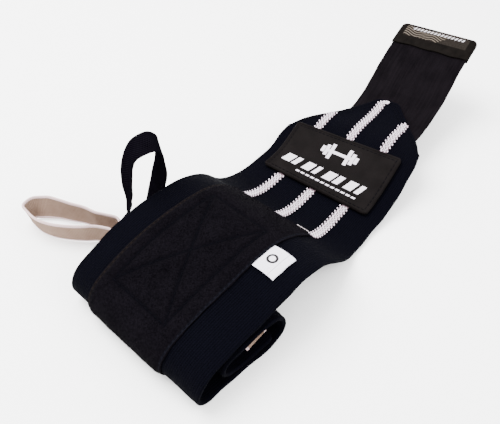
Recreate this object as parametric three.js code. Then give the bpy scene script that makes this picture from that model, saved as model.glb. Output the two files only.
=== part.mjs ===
// Wrist wrap: a striped elastic band with a hook strap and pull tab at its free end,
// a sewn patch, a loop-tape panel, a side label and two thumb loops at its inner end.
// The free end lies open, the other end is rolled loosely by one and a half turns.
// Millimetres, up is +Z, the length runs along Y with the pull tab at +Y.
import * as THREE from 'three';

// Overall band
const wrap_length = 418;
const band_width = 80;
const band_thickness = 2;
const edge_round = 0.6;
const inner_end_radius = 4;

// Gap that is left between two pieces that touch on the real wrap
const seam_gap = 0.3;

// Tapered tip of the band over the hook strap
const tip_start = 56;
const tip_left_length = 46;
const tip_right_length = 36;
const tip_half_width = 6.5;
const tip_offset = 2.5;
const tip_radius = 2.5;

// Hook strap and the folded pull tab on its end
const strap_width = 47;
const strap_offset = 7;
const strap_thickness = 1.3;
const strap_hidden_end = 116;
const tab_length = 15.5;
const tab_wall = 0.9;
const tab_edge_round = 0.54;
const tab_radius = 3;
const tab_side_overhang = 0.6;
const tab_fold_depth = 1.7;
const strap_inset_in_tab = 5;

// Three raised stripes
const stripe_width = 4.8;
const stripe_spacing = 20.5;
const stripe_height = 0.8;
const stripe_pressed_height = 0.3;
const stripe_press_ramp = 1.5;
const stripe_end = 168;
const stripe_edge_margin = 0.4;
const stripe_tip_width = 1.2;
const stripe_side_height = 0.6;

// Sewn patch with a raised rim
const patch_start = 98;
const patch_length = 36.5;
const patch_width = 65.5;
const patch_thickness = 1.2;
const patch_rim_width = 1.4;
const patch_rim_height = 0.4;
const patch_rim_slope = 0.25;
const patch_radius = 2.5;

// Loop-tape panel
const panel_start = 169;
const panel_end = 283;
const panel_width = 47;
const panel_offset = -3.5;
const panel_thickness = 1.6;
const selvedge_width = 1.8;
const selvedge_thickness = 0.8;
const pocket_slope = 1;

// Side label, folded, with its sewn edge under the panel
const label_start = 201;
const label_length = 15.5;
const label_reach = 11;
const label_tuck = 3;
const label_thickness = 0.7;
const label_fold_width = 2.5;
const label_fold_extra = 0.3;
const label_fold_slope = 0.4;
const label_edge_drop = 0.1;

// Thumb loops of flat elastic tape
const loop_reach = 60;
const loop_tape_width = 12;
const loop_tape_thickness = 1.1;
const loop_tape_bevel = 0.3;
const loop_step = 2.5;

// Distance of the tapes' middle line from the inner end, and of the first tape from the band's side
const loop_seat_from_end = 12;
const loop_root_inset = 2;

// Where the path of the outer face starts, at the tab's far edge, before the part is centred
const start_height = 43.2;
const sampling = 1;
const blend_reach = 8;

// Lengths closer together than this count as the same place
const same_place = 0.01;

// Middle of the stretch that lies flat on the floor, as a share of wrap_length
const floor_share = 0.735;

// The outer face as a bending band: one row per bend.
// at: share of wrap_length. slope: degrees of travel, 0 level toward the roll, -180 on the floor
// and back toward the tab. yaw: plan turn of the cross direction. tilt: right edge up.
const bends = [
  { at: 0.0000, slope: -24.4, yaw: -0.9, tilt: 5.2 },
  { at: 0.0478, slope: -28.4, yaw: 2.4, tilt: 4.0 },
  { at: 0.0957, slope: -29.1, yaw: 4.0, tilt: 4.8 },
  { at: 0.1435, slope: -12.0, yaw: 4.1, tilt: 6.4 },
  { at: 0.1914, slope: 6.5, yaw: 3.2, tilt: 7.0 },
  { at: 0.2392, slope: -24.5, yaw: 2.1, tilt: 5.0 },
  { at: 0.2751, slope: -26.0, yaw: 0.9, tilt: 4.4 },
  { at: 0.3110, slope: -5.5, yaw: 0.3, tilt: 1.8 },
  { at: 0.3469, slope: -0.2, yaw: 3.1, tilt: 0.6 },
  { at: 0.3828, slope: 25.8, yaw: 3.7, tilt: -3.6 },
  { at: 0.4187, slope: 49.1, yaw: 1.4, tilt: -4.6 },
  { at: 0.4545, slope: 31.1, yaw: -0.9, tilt: -2.6 },
  { at: 0.4904, slope: 4.6, yaw: -2.1, tilt: -1.6 },
  { at: 0.5263, slope: -6.1, yaw: -2.7, tilt: -2.6 },
  { at: 0.5622, slope: -10.5, yaw: -3.0, tilt: -4.9 },
  { at: 0.5957, slope: -19.5, yaw: -3.1, tilt: -3.0 },
  { at: 0.6232, slope: -19.5, yaw: -2.7, tilt: -1.1 },
  { at: 0.6507, slope: -66.6, yaw: -2.0, tilt: 0.4 },
  { at: 0.6842, slope: -177.0, yaw: -2.0, tilt: 0.2 },
  { at: 0.7057, slope: -180.0, yaw: -4.0, tilt: 0.0 },
  { at: 0.7667, slope: -180.0, yaw: -6.0, tilt: 0.0 },
  { at: 0.8481, slope: -360.0, yaw: -6.0, tilt: -3.4 },
  { at: 0.8624, slope: -366.0, yaw: -6.0, tilt: -4.2 },
  { at: 0.8923, slope: -369.0, yaw: -6.0, tilt: -3.4 },
  { at: 0.9488, slope: -540.0, yaw: -6.0, tilt: 0.0 },
  { at: 1.0000, slope: -548.0, yaw: -6.0, tilt: 0.0 },
];

// Tape paths, one row per bend, as shares of loop_reach from the left end of the sewn stack.
// out: away from the band. along: toward the tab. up: height. The three face columns give the
// direction across the tape.
const white_loop = [
  { out: -1.24, along: -0.048, up: 0.011, face_out: 0, face_along: 1.00, face_up: 0.08 },
  { out: -0.60, along: -0.046, up: 0.006, face_out: 0, face_along: 1.00, face_up: 0.07 },
  { out: 0.05, along: 0.000, up: 0.008, face_out: 0, face_along: 1.00, face_up: 0.07 },
  { out: 0.13, along: -0.012, up: 0.010, face_out: 0, face_along: 0.88, face_up: -0.47 },
  { out: 0.19, along: -0.030, up: 0.008, face_out: 0, face_along: 0.50, face_up: -0.87 },
  { out: 0.27, along: -0.068, up: 0.003, face_out: 0, face_along: 0.12, face_up: -0.99 },
  { out: 0.38, along: -0.131, up: 0.001, face_out: 0.04, face_along: 0.05, face_up: -1.00 },
  { out: 0.45, along: -0.196, up: 0.001, face_out: 0.05, face_along: 0.07, face_up: -1.00 },
  { out: 0.55, along: -0.272, up: 0.001, face_out: 0.06, face_along: 0.09, face_up: -0.99 },
  { out: 0.67, along: -0.339, up: 0.000, face_out: 0.05, face_along: 0.13, face_up: -0.99 },
  { out: 0.79, along: -0.374, up: 0.000, face_out: 0.02, face_along: 0.17, face_up: -0.98 },
  { out: 0.91, along: -0.372, up: 0.000, face_out: -0.02, face_along: 0.17, face_up: -0.98 },
  { out: 1.00, along: -0.352, up: 0.000, face_out: -0.10, face_along: 0.14, face_up: -0.98 },
  { out: 1.01, along: -0.282, up: -0.005, face_out: -0.28, face_along: -0.20, face_up: -0.94 },
  { out: 0.97, along: -0.235, up: -0.010, face_out: -0.28, face_along: -0.37, face_up: -0.88 },
  { out: 0.93, along: -0.200, up: -0.010, face_out: -0.29, face_along: -0.37, face_up: -0.88 },
  { out: 0.84, along: -0.157, up: -0.003, face_out: -0.14, face_along: -0.24, face_up: -0.96 },
  { out: 0.73, along: -0.115, up: 0.000, face_out: -0.08, face_along: -0.14, face_up: -0.99 },
  { out: 0.60, along: -0.059, up: 0.001, face_out: -0.03, face_along: -0.06, face_up: -1.00 },
  { out: 0.49, along: -0.033, up: 0.001, face_out: -0.01, face_along: -0.03, face_up: -1.00 },
  { out: 0.41, along: 0.006, up: 0.001, face_out: 0, face_along: 0, face_up: -1.00 },
  { out: 0.31, along: 0.048, up: 0.001, face_out: 0, face_along: 0.03, face_up: -1.00 },
  { out: 0.19, along: 0.035, up: 0.012, face_out: 0, face_along: 0.42, face_up: -0.91 },
  { out: 0.12, along: 0.028, up: 0.026, face_out: 0, face_along: 0.86, face_up: -0.50 },
  { out: 0.04, along: 0.010, up: 0.034, face_out: 0, face_along: 1.00, face_up: 0.07 },
  { out: -0.30, along: -0.032, up: 0.031, face_out: 0, face_along: 1.00, face_up: 0.07 },
];
const black_loop = [
  { out: -0.40, along: -0.042, up: 0.062, face_out: 0, face_along: 1.00, face_up: 0.07 },
  { out: 0.00, along: 0.004, up: 0.068, face_out: 0, face_along: 1.00, face_up: 0.07 },
  { out: 0.10, along: 0.030, up: 0.098, face_out: 0.30, face_along: 0.95, face_up: 0.06 },
  { out: 0.19, along: 0.085, up: 0.145, face_out: 0.72, face_along: 0.68, face_up: 0.03 },
  { out: 0.26, along: 0.155, up: 0.220, face_out: 0.86, face_along: 0.50, face_up: 0 },
  { out: 0.29, along: 0.182, up: 0.310, face_out: 0.95, face_along: 0.29, face_up: 0 },
  { out: 0.29, along: 0.192, up: 0.410, face_out: 0.96, face_along: 0.28, face_up: 0 },
  { out: 0.27, along: 0.202, up: 0.520, face_out: 0.95, face_along: 0.31, face_up: 0.05 },
  { out: 0.24, along: 0.218, up: 0.635, face_out: 0.87, face_along: 0.44, face_up: 0.21 },
  { out: 0.19, along: 0.250, up: 0.735, face_out: 0.82, face_along: 0.52, face_up: 0.25 },
  { out: 0.12, along: 0.352, up: 0.778, face_out: 0.87, face_along: 0.41, face_up: 0.24 },
  { out: 0.10, along: 0.402, up: 0.728, face_out: 0.84, face_along: 0.50, face_up: 0.20 },
  { out: 0.11, along: 0.412, up: 0.620, face_out: 0.91, face_along: 0.41, face_up: 0.05 },
  { out: 0.13, along: 0.418, up: 0.490, face_out: 0.96, face_along: 0.27, face_up: 0 },
  { out: 0.16, along: 0.405, up: 0.370, face_out: 0.98, face_along: 0.18, face_up: 0 },
  { out: 0.17, along: 0.372, up: 0.280, face_out: 0.95, face_along: 0.30, face_up: 0 },
  { out: 0.14, along: 0.285, up: 0.200, face_out: 0.75, face_along: 0.65, face_up: 0.05 },
  { out: 0.09, along: 0.160, up: 0.150, face_out: 0.35, face_along: 0.90, face_up: 0.05 },
  { out: 0.02, along: 0.050, up: 0.115, face_out: 0.10, face_along: 1.00, face_up: 0.07 },
  { out: -0.08, along: -0.004, up: 0.096, face_out: 0, face_along: 1.00, face_up: 0.07 },
  { out: -0.40, along: -0.042, up: 0.094, face_out: 0, face_along: 1.00, face_up: 0.07 },
];

const toRadians = (degrees) => (degrees * Math.PI) / 180;

// Straight interpolation between the rows of the bend table
function rowValue(share, column) {
  const last = bends.length - 1;
  if (share <= bends[0].at) return bends[0][column];
  if (share >= bends[last].at) return bends[last][column];
  let k = 0;
  while (bends[k + 1].at < share) k += 1;
  const part = (share - bends[k].at) / (bends[k + 1].at - bends[k].at);
  return bends[k][column] + part * (bends[k + 1][column] - bends[k][column]);
}

// The same value rounded off over a short stretch, as cloth does at a bend
function blended(distance, column) {
  let total = 0;
  let weight = 0;
  for (let k = -blend_reach; k <= blend_reach; k += 1) {
    const share = blend_reach + 1 - Math.abs(k);
    const at = Math.min(Math.max(distance + k, 0), wrap_length);
    total += share * rowValue(at / wrap_length, column);
    weight += share;
  }
  return total / weight;
}

// Points, cross directions and travel directions of the outer face
const path = [];
{
  const point = new THREE.Vector3(0, 0, start_height);
  let before = null;
  for (let s = 0; s <= wrap_length; s += sampling) {
    const slope = toRadians(blended(s, 'slope'));
    const yaw = toRadians(blended(s, 'yaw'));
    const tilt = toRadians(blended(s, 'tilt'));
    const across = new THREE.Vector3(
      Math.cos(yaw) * Math.cos(tilt), Math.sin(yaw) * Math.cos(tilt), Math.sin(tilt));
    const level = new THREE.Vector3(Math.sin(yaw), -Math.cos(yaw), 0);
    const rise = new THREE.Vector3().crossVectors(level, across);
    const travel = level.multiplyScalar(Math.cos(slope)).addScaledVector(rise, Math.sin(slope));
    if (before) point.addScaledVector(before, sampling / 2).addScaledVector(travel, sampling / 2);
    before = travel.clone();
    path.push({ point: point.clone(), across, travel, slope });
  }
}

// The lowest stretch lies on the floor
const floor_drop = path[Math.round(floor_share * wrap_length / sampling)].point.z;
for (const row of path) row.point.z -= floor_drop;

function frameAt(s) {
  const k = Math.min(Math.max(s / sampling, 0), path.length - 1);
  const first = Math.min(Math.floor(k), path.length - 2);
  const low = path[first];
  const high = path[first + 1];
  const part = k - first;
  const point = low.point.clone().lerp(high.point, part);
  const across = low.across.clone().lerp(high.across, part).normalize();
  const travel = low.travel.clone().lerp(high.travel, part).normalize();
  return { point, across, outward: new THREE.Vector3().crossVectors(travel, across).normalize() };
}

// A spot on the wrap: s along it, x across it, height above its outer face
function place(s, x, height) {
  const frame = frameAt(s);
  return frame.point.addScaledVector(frame.across, x).addScaledVector(frame.outward, height);
}

// Shared stations along the wrap, closer together where it bends
const widest_step = 4;
const tightest_step = 1.5;
const turn_per_step = 10;
const stations = [];
for (let s = 0; s < wrap_length;) {
  stations.push(s);
  const turn = Math.abs(blended(s + 1, 'slope') - blended(s - 1, 'slope')) / 2;
  s += Math.min(Math.max(turn_per_step / Math.max(turn, 0.1), tightest_step), widest_step);
}

function stationsBetween(from, to, extra = []) {
  const closest = 0.3;
  const fixed = [from, ...extra, to];
  const between = stations.filter(
    (s) => s > from && s < to && fixed.every((f) => Math.abs(s - f) > closest));
  return [...fixed, ...between].sort((a, b) => a - b);
}

// How far a rounded corner draws the edge in at a distance from the end
function cornerInset(distance, radius) {
  if (distance >= radius) return 0;
  const left = radius - Math.max(distance, 0);
  return radius - Math.sqrt(radius * radius - left * left);
}

function meshFrom(name, positions, indices, look) {
  const geometry = new THREE.BufferGeometry();
  geometry.setAttribute('position', new THREE.Float32BufferAttribute(positions, 3));
  geometry.setIndex(indices);
  geometry.computeVertexNormals();
  const mesh = new THREE.Mesh(geometry, new THREE.MeshStandardMaterial(look));
  mesh.name = name;
  return mesh;
}

// Closed grid: each row is a list of top points and a list of under points across the wrap
function closedSheet(name, rows, look) {
  const across = rows[0].top.length;
  const positions = [];
  for (const row of rows) {
    for (const p of row.top) positions.push(p.x, p.y, p.z);
    for (const p of row.under) positions.push(p.x, p.y, p.z);
  }
  const top = (i, j) => i * across * 2 + j;
  const under = (i, j) => i * across * 2 + across + j;
  const indices = [];
  const quad = (a, b, c, d) => indices.push(a, b, c, a, c, d);
  const last = rows.length - 1;
  for (let i = 0; i < last; i += 1) {
    for (let j = 0; j < across - 1; j += 1) {
      quad(top(i, j), top(i + 1, j), top(i + 1, j + 1), top(i, j + 1));
      quad(under(i, j), under(i, j + 1), under(i + 1, j + 1), under(i + 1, j));
    }
    quad(top(i, 0), under(i, 0), under(i + 1, 0), top(i + 1, 0));
    const e = across - 1;
    quad(top(i, e), top(i + 1, e), under(i + 1, e), under(i, e));
  }
  for (let j = 0; j < across - 1; j += 1) {
    quad(top(0, j), top(0, j + 1), under(0, j + 1), under(0, j));
    quad(top(last, j), under(last, j), under(last, j + 1), top(last, j + 1));
  }
  return meshFrom(name, positions, indices, look);
}

// A piece that lies along the wrap between two stations
function sheetOnWrap(name, along, acrossAt, topAt, underAt, look) {
  const rows = along.map((s) => {
    const xs = acrossAt(s);
    return {
      top: xs.map((x, j) => place(s, x, topAt(s, x, j, xs.length))),
      under: xs.map((x, j) => place(s, x, underAt(s, x, j, xs.length))),
    };
  });
  return closedSheet(name, rows, look);
}

const isEdge = (j, count) => j === 0 || j === count - 1;

// Outline of the band: tapered at the tip, rounded at the inner end
function bandSides(s) {
  const half = band_width / 2;
  const inset = cornerInset(s - tip_start, tip_radius) + cornerInset(wrap_length - s, inner_end_radius);
  const grown = (length) => Math.min(Math.max((s - tip_start) / length, 0), 1);
  const tip_left = tip_offset - tip_half_width;
  const tip_right = tip_offset + tip_half_width;
  return {
    left: tip_left - (half + tip_left) * grown(tip_left_length) + inset,
    right: tip_right + (half - tip_right) * grown(tip_right_length) - inset,
  };
}

function makeBand(look) {
  const along = stationsBetween(tip_start, wrap_length, [
    tip_start + tip_radius / 4, tip_start + tip_radius,
    tip_start + tip_left_length, tip_start + tip_right_length,
    wrap_length - inner_end_radius, wrap_length - inner_end_radius / 3,
    wrap_length - inner_end_radius / 12,
  ]);
  const acrossAt = (s) => {
    const { left, right } = bandSides(s);
    const third = (right - left) / 3;
    return [left, left + edge_round, left + third, right - third, right - edge_round, right];
  };
  const topAt = (s, x, j, count) => (isEdge(j, count) ? -edge_round : 0);
  const underAt = (s, x, j, count) => -band_thickness + (isEdge(j, count) ? edge_round : 0);
  return sheetOnWrap('band', along, acrossAt, topAt, underAt, look);
}

const strap_top = -band_thickness - seam_gap;
const strap_under = strap_top - strap_thickness;

function makeHookStrap(look) {
  const along = stationsBetween(strap_inset_in_tab, strap_hidden_end);
  const half = strap_width / 2;
  const bevel = strap_thickness / 4;
  const acrossAt = () => [
    strap_offset - half, strap_offset - half + bevel, strap_offset,
    strap_offset + half - bevel, strap_offset + half];
  const topAt = (s, x, j, count) => strap_top - (isEdge(j, count) ? bevel : 0);
  const underAt = (s, x, j, count) => strap_under + (isEdge(j, count) ? bevel : 0);
  return sheetOnWrap('hook_strap', along, acrossAt, topAt, underAt, look);
}

// Pull tab: one moulded strip folded over the strap's end, open toward the strap
function makePullTab(look) {
  const half = strap_width / 2 + tab_side_overhang;
  const left = strap_offset - half;
  const right = strap_offset + half;
  const slot_top = strap_top + seam_gap;
  const slot_under = strap_under - seam_gap;
  const top = slot_top + tab_wall;
  const under = slot_under - tab_wall;
  const soft = tab_edge_round;
  const columns = [0, 0.12, 0.45, 1].map((share) => share * tab_radius);
  const xs = [...columns.map((d) => left + d), strap_offset, ...columns.map((d) => right - d).reverse()];
  const sections = xs.map((x) => {
    const far = cornerInset(Math.min(x - left, right - x), tab_radius);
    return [
      [tab_length, top], [far + soft, top], [far + soft / 4, top - soft / 2], [far, top - soft],
      [far, under + soft], [far + soft / 4, under + soft / 2], [far + soft, under], [tab_length, under],
      [tab_length, slot_under], [far + tab_fold_depth, slot_under],
      [far + tab_fold_depth, slot_top], [tab_length, slot_top],
    ].map(([s, height]) => ({ s, height, point: place(s, x, height) }));
  });
  const count = sections[0].length;
  const positions = [];
  for (const section of sections) for (const p of section) positions.push(p.point.x, p.point.y, p.point.z);
  const indices = [];
  for (let i = 0; i < sections.length - 1; i += 1) {
    for (let k = 0; k < count; k += 1) {
      const n = (k + 1) % count;
      const a = i * count + k;
      const b = i * count + n;
      indices.push(a, a + count, b + count, a, b + count, b);
    }
  }
  for (const end of [0, sections.length - 1]) {
    const outline = sections[end].map((p) => new THREE.Vector2(p.s, p.height));
    for (const [a, b, c] of THREE.ShapeUtils.triangulateShape(outline, [])) {
      const base = end * count;
      if (end === 0) indices.push(base + a, base + b, base + c);
      else indices.push(base + a, base + c, base + b);
    }
  }
  return meshFrom('pull_tab', positions, indices, look);
}

const patch_end = patch_start + patch_length;
const patch_under = seam_gap + stripe_pressed_height + seam_gap;

// Stripe: a raised rib in the band, pressed flat where the patch is sewn over it
function makeStripe(name, middle, look) {
  const half = stripe_width / 2;
  const sidesAt = (s) => {
    const { left, right } = bandSides(s);
    return {
      left: Math.max(middle - half, left + edge_round + stripe_edge_margin),
      right: Math.min(middle + half, right - edge_round - stripe_edge_margin),
    };
  };
  let start = tip_start + tip_radius;
  while (sidesAt(start).right - sidesAt(start).left < stripe_tip_width) start += sampling / 2;
  const tip_slant = tip_left_length / (band_width / 2 - tip_half_width);
  const full = start + (stripe_width - stripe_tip_width) * tip_slant;
  const along = stationsBetween(start, stripe_end, [
    full, patch_start - stripe_press_ramp - seam_gap, patch_start - seam_gap,
    patch_end + seam_gap, patch_end + seam_gap + stripe_press_ramp,
  ]);
  const heightAt = (s) => {
    const outside = Math.max(patch_start - seam_gap - s, s - patch_end - seam_gap, 0);
    const open = Math.min(outside / stripe_press_ramp, 1);
    return stripe_pressed_height + (stripe_height - stripe_pressed_height) * open;
  };
  const acrossAt = (s) => {
    const { left, right } = sidesAt(s);
    const quarter = (right - left) / 4;
    return [left, left + quarter, right - quarter, right];
  };
  const topAt = (s, x, j, count) => seam_gap + heightAt(s) * (isEdge(j, count) ? stripe_side_height : 1);
  return sheetOnWrap(name, along, acrossAt, topAt, () => seam_gap, look);
}

// Patch: thin moulded plate with a rim all round
function makePatch(look) {
  const rims = [0.12, 0.5, 1].map((share) => share * patch_radius);
  const along = stationsBetween(patch_start, patch_end, [
    ...rims.map((d) => patch_start + d), patch_start + patch_rim_width,
    ...rims.map((d) => patch_end - d), patch_end - patch_rim_width,
  ]);
  const half = patch_width / 2;
  const wall = patch_rim_width;
  const step = patch_rim_slope;
  const acrossAt = (s) => {
    const inset = cornerInset(Math.min(s - patch_start, patch_end - s), patch_radius);
    const side = half - inset;
    return [-side, -side + step, -half + wall + inset / 2, -half + wall + inset / 2 + step, 0,
      half - wall - inset / 2 - step, half - wall - inset / 2, side - step, side];
  };
  const inRim = (s) => s < patch_start + wall || s > patch_end - wall;
  const topAt = (s, x, j) => {
    const field = j >= 3 && j <= 5 && !inRim(s);
    const outer = j === 0 || j === 8 ? patch_rim_height : 0;
    return patch_under + patch_thickness + (field ? 0 : patch_rim_height) - outer;
  };
  return sheetOnWrap('patch', along, acrossAt, topAt, () => patch_under, look);
}

const panel_left = panel_offset - panel_width / 2;
const panel_right = panel_offset + panel_width / 2;
const label_end = label_start + label_length;

// Panel: loop tape with thin selvedges, raised underneath where the label is tucked in
function makePanel(look) {
  const raise = pocket_slope;
  const pocket_edges = [
    label_start - seam_gap - raise, label_start - seam_gap,
    label_end + seam_gap, label_end + seam_gap + raise];
  const end_steps = [panel_start + selvedge_width / 2, panel_end - selvedge_width / 2];
  const along = stationsBetween(panel_start, panel_end, [...pocket_edges, ...end_steps]);
  const pocket_side = panel_right - label_tuck - seam_gap;
  const acrossAt = () => [
    panel_left, panel_left + selvedge_width, panel_left + selvedge_width + raise / 2,
    panel_offset, pocket_side - raise, pocket_side,
    panel_right - selvedge_width - raise / 2, panel_right - selvedge_width, panel_right];
  const topAt = (s, x) => {
    const side = Math.min(x - panel_left, panel_right - x);
    const end = Math.min(s - panel_start, panel_end - s);
    const on_selvedge = side <= selvedge_width + same_place || end < selvedge_width / 2 - same_place;
    const lift = x > pocket_side - same_place ? pocketLift(s) : 0;
    return seam_gap + (on_selvedge ? Math.max(selvedge_thickness + lift, 0) : panel_thickness + lift);
  };
  const pocketLift = (s) => {
    const outside = Math.max(label_start - seam_gap - s, s - label_end - seam_gap, 0);
    return (label_thickness + seam_gap) * (1 - Math.min(outside / raise, 1));
  };
  const underAt = (s, x) => seam_gap + (x > pocket_side - same_place ? pocketLift(s) : 0);
  return sheetOnWrap('loop_panel', along, acrossAt, topAt, underAt, look);
}

// Label: two layers of woven ribbon folded at the far side
function makeLabel(look) {
  const left = panel_right - label_tuck;
  const right = panel_right + label_reach;
  const fold = right - label_fold_width;
  const along = stationsBetween(label_start, label_end);
  const acrossAt = () => [
    left, panel_right + seam_gap, fold - label_fold_slope, fold, right - label_fold_slope, right];
  const topAt = (s, x, j) => {
    const over_fold = j === 3 || j === 4 ? label_fold_extra : 0;
    return seam_gap + label_thickness + over_fold - (j === 5 ? label_edge_drop : 0);
  };
  return sheetOnWrap('side_label', along, acrossAt, topAt, () => seam_gap, look);
}

// Tape along a free path: smooth curve through the rows, one flat section carried along it
function makeTape(name, rows, root, look) {
  const at = (row) => new THREE.Vector3(
    root.x - row.out * loop_reach, root.y + row.along * loop_reach, root.z + row.up * loop_reach);
  const curve = new THREE.CatmullRomCurve3(rows.map(at), false, 'centripetal');
  const faces = new THREE.CatmullRomCurve3(
    rows.map((row) => new THREE.Vector3(-row.face_out, row.face_along, row.face_up).normalize()),
    false, 'centripetal');
  const count = Math.round(curve.getLength() / loop_step);
  const half = loop_tape_width / 2;
  const thick = loop_tape_thickness / 2;
  const b = loop_tape_bevel;
  const section = [
    [-half, -thick + b], [-half + b, -thick], [half - b, -thick], [half, -thick + b],
    [half, thick - b], [half - b, thick], [-half + b, thick], [-half, thick - b]];
  const positions = [];
  for (let i = 0; i <= count; i += 1) {
    const t = i / count;
    const point = curve.getPoint(t);
    const tangent = curve.getTangent(t);
    const across = faces.getPoint(t);
    across.addScaledVector(tangent, -across.dot(tangent)).normalize();
    const normal = new THREE.Vector3().crossVectors(across, tangent);
    for (const [x, y] of section) {
      const p = point.clone().addScaledVector(across, x).addScaledVector(normal, y);
      positions.push(p.x, p.y, p.z);
    }
  }
  const size = section.length;
  const indices = [];
  for (let i = 0; i < count; i += 1) {
    for (let k = 0; k < size; k += 1) {
      const a = i * size + k;
      const c = i * size + ((k + 1) % size);
      indices.push(a, a + size, c + size, a, c + size, c);
    }
  }
  for (let k = 1; k < size - 1; k += 1) {
    indices.push(0, k, k + 1);
    indices.push(count * size, count * size + k + 1, count * size + k);
  }
  return meshFrom(name, positions, indices, look);
}

// Sewn stack of tape ends on the inner end: its lowest tape lies a gap above the band
function loopRoot() {
  const s = wrap_length - loop_seat_from_end;
  const side = -band_width / 2 + loop_root_inset;
  return place(s, side, -band_thickness - seam_gap - loop_tape_thickness / 2);
}

const looks = {
  band: { color: 0x15151b, roughness: 0.92, metalness: 0 },
  stripe: { color: 0xe4dfe6, roughness: 0.9, metalness: 0 },
  strap: { color: 0x1b1917, roughness: 0.85, metalness: 0 },
  tab: { color: 0x3a3733, roughness: 0.6, metalness: 0 },
  patch: { color: 0x2e2b2c, roughness: 0.65, metalness: 0 },
  panel: { color: 0x1c1a1e, roughness: 0.98, metalness: 0 },
  label: { color: 0xf0eef2, roughness: 0.7, metalness: 0 },
  black_tape: { color: 0x17161a, roughness: 0.88, metalness: 0 },
  white_tape: { color: 0xe6dcd6, roughness: 0.85, metalness: 0 },
};

const group = new THREE.Group();
group.name = 'wrist_wrap';
group.add(makeBand(looks.band));
group.add(makeHookStrap(looks.strap));
group.add(makePullTab(looks.tab));
group.add(makeStripe('stripe_left', -stripe_spacing, looks.stripe));
group.add(makeStripe('stripe_middle', 0, looks.stripe));
group.add(makeStripe('stripe_right', stripe_spacing, looks.stripe));
group.add(makePatch(looks.patch));
group.add(makePanel(looks.panel));
group.add(makeLabel(looks.label));
group.add(makeTape('thumb_loop_white', white_loop, loopRoot(), looks.white_tape));
group.add(makeTape('thumb_loop_black', black_loop, loopRoot(), looks.black_tape));

// Centre the part over the origin with its lowest face at zero
const box = new THREE.Box3().setFromObject(group);
const middle = box.getCenter(new THREE.Vector3());
for (const mesh of group.children) mesh.geometry.translate(-middle.x, -middle.y, 0);

export default group;
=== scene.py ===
# Wrist wrap lying open at one end and loosely rolled at the other, with its two thumb loops.
# Lengths in the tables are millimetres along and across the flat wrap, as it would be cut.
import bpy
import math
import numpy as np
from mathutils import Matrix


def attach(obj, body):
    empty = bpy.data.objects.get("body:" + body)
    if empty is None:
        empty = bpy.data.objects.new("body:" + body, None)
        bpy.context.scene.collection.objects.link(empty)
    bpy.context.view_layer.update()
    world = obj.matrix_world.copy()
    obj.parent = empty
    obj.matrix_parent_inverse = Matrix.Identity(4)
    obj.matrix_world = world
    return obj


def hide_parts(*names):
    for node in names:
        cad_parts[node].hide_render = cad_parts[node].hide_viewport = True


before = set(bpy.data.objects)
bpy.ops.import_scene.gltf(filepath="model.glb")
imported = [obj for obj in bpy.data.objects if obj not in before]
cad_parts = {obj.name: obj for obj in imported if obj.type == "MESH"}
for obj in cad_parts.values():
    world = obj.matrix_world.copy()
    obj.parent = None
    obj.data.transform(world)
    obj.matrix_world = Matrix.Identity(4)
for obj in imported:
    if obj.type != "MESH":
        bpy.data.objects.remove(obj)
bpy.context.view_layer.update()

# Band
# Double elastic knit, woven as a tube 80 mm wide and 2 mm thick. Its tip is cut to a blunt point
# over the hook strap, turned and stitched, and its inner end is folded under and stitched.
wrap_length = 418
band_half, band_thick = 40, 2.0
tip_start, tip_left_end, tip_right_end = 56, 102, 92
tip_left_half, tip_right_half = 4, 9

# The cloth rises from the tab over a hump under the patch, dips to the floor, climbs over the
# roll and turns one and a half times. Each row: distance from the tab, slope, turn, tilt.
bends = np.array([
    (0, -24.4, -0.9, 5.2), (20, -28.4, 2.4, 4.0), (40, -29.1, 4.0, 4.8), (60, -12.0, 4.1, 6.4),
    (80, 6.5, 3.2, 7.0), (100, -24.5, 2.1, 5.0), (115, -26.0, 0.9, 4.4), (130, -5.5, 0.3, 1.8),
    (145, -0.2, 3.1, 0.6), (160, 25.8, 3.7, -3.6), (175, 49.1, 1.4, -4.6), (190, 31.1, -0.9, -2.6),
    (205, 4.6, -2.1, -1.6), (220, -6.1, -2.7, -2.6), (235, -10.5, -3.0, -4.9), (249, -19.5, -3.1, -3.0),
    (260.5, -19.5, -2.7, -1.1), (272, -66.6, -2.0, 0.4), (286, -177.0, -2.0, 0.2),
    (295, -180.0, -4.0, 0.0), (320.5, -180.0, -6.0, 0.0), (354.5, -360.0, -6.0, -3.4),
    (360.5, -366.0, -6.0, -4.2), (373, -369.0, -6.0, -3.4), (396.6, -540.0, -6.0, 0.0),
    (418, -548.0, -6.0, 0.0)])
bend_blend = 9
far_end_place = (19.173, 125.626)
floor_share = 0.735
steps = np.arange(0, wrap_length + 0.01, 1.0)
window = np.arange(1 - bend_blend, bend_blend)
weight = (bend_blend - abs(window)) / bend_blend ** 2
near = np.clip(steps[:, None] + window, 0, wrap_length)
slope, turn, tilt = (
    np.radians((np.interp(near, bends[:, 0], bends[:, c]) * weight).sum(1)) for c in (1, 2, 3))
cross = np.stack([np.cos(turn) * np.cos(tilt), np.sin(turn) * np.cos(tilt), np.sin(tilt)], 1)
level = np.stack([np.sin(turn), -np.cos(turn), 0 * turn], 1)
travel = np.cos(slope)[:, None] * level + np.sin(slope)[:, None] * np.cross(level, cross)
spine = np.vstack([np.zeros(3), np.cumsum((travel[1:] + travel[:-1]) / 2, axis=0)])
spine += (*far_end_place, -spine[int(round(floor_share * wrap_length)), 2])
outward = np.cross(travel, cross)


def lay(s, x, h):
    """Where a spot of the flat wrap lies: s along, x across, h above the outer face."""
    s, x, h = np.broadcast_arrays(np.asarray(s, float), np.asarray(x, float), np.asarray(h, float))

    def at(table):
        return np.stack([np.interp(s, steps, table[:, k]) for k in range(3)], -1)

    return at(spine) + at(cross) * x[..., None] + at(outward) * h[..., None]


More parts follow.
